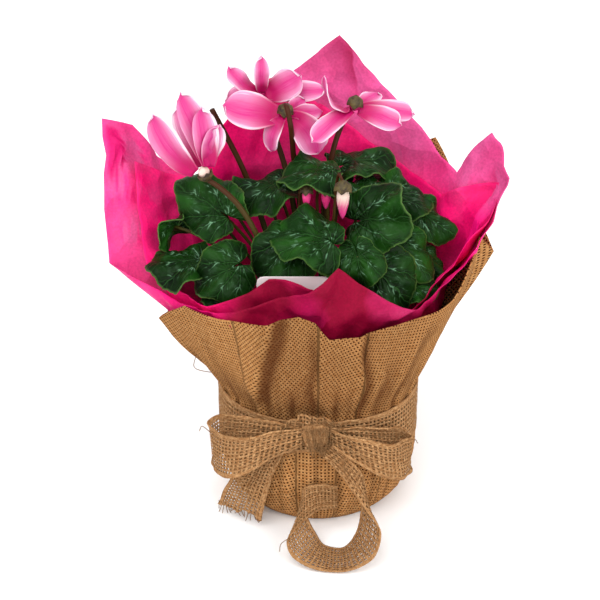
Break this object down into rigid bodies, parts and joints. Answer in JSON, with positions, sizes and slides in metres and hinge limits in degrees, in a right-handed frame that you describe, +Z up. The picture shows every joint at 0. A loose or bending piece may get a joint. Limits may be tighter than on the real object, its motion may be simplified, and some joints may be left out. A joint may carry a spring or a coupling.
{
  "type": "potted cyclamen",
  "caption": "Pink cyclamen in a nursery pot, gift wrapped in magenta tissue and tan burlap, tied with a jute ribbon bow; stands on its flat wrapped base.",
  "frame": {"origin": "middle of the flat underside of the wrap, where it stands on the table", "axes": "+Z up, front with the bow towards -Y, +X to the right as seen from the front"},
  "size_m": [0.2523, 0.1997, 0.2911],
  "materials": {
    "pot_plastic": "dark matt moulded nursery plastic",
    "burlap": "open plain weave of coarse jute, matt",
    "tissue_paper": "creased translucent tissue, soft sheen",
    "jute_ribbon": "loose open jute weave with frayed cut ends, matt",
    "leaf": "satin waxy green with silver marbling",
    "petal": "soft satin pink with white edge",
    "stem": "satin red-brown to olive",
    "tuber": "matt corky brown",
    "label_plastic": "satin pale pink-white card-like plastic, blank",
    "potting_soil": "damp crumbly peat, matt"
  },
  "bodies": {
    "root": {"pot": "pot_plastic", "burlap_wrap": "burlap", "tissue_outer": "tissue_paper", "tissue_inner": "tissue_paper", "ribbon_band": "jute_ribbon", "bow_knot": "jute_ribbon", "bow_loop_left": "jute_ribbon", "bow_loop_right": "jute_ribbon", "bow_tail_left": "jute_ribbon", "bow_tail_right": "jute_ribbon", "leaf_01": "leaf", "leaf_02": "leaf", "leaf_03": "leaf", "leaf_04": "leaf", "leaf_05": "leaf", "leaf_06": "leaf", "leaf_07": "leaf", "leaf_08": "leaf", "leaf_09": "leaf", "leaf_10": "leaf", "leaf_11": "leaf", "leaf_12": "leaf", "leaf_13": "leaf", "leaf_14": "leaf", "leaf_15": "leaf", "leaf_16": "leaf", "leaf_17": "leaf", "leaf_18": "leaf", "leaf_19": "leaf", "leaf_20": "leaf", "leaf_21": "leaf", "leaf_22": "leaf", "leaf_23": "leaf", "leaf_24": "leaf", "flower_1_petals": "petal", "flower_1_stem": "stem", "flower_2_petals": "petal", "flower_2_stem": "stem", "flower_3_petals": "petal", "flower_3_stem": "stem", "flower_4_petals": "petal", "flower_4_stem": "stem", "bud_1_petals": "petal", "bud_1_stem": "stem", "bud_2_petals": "petal", "bud_2_stem": "stem", "bud_3_petals": "petal", "bud_3_stem": "stem", "spent_stalk": "stem", "tuber": "tuber", "plant_label": "label_plastic", "soil": "potting_soil"}
  },
  "joints": []
}
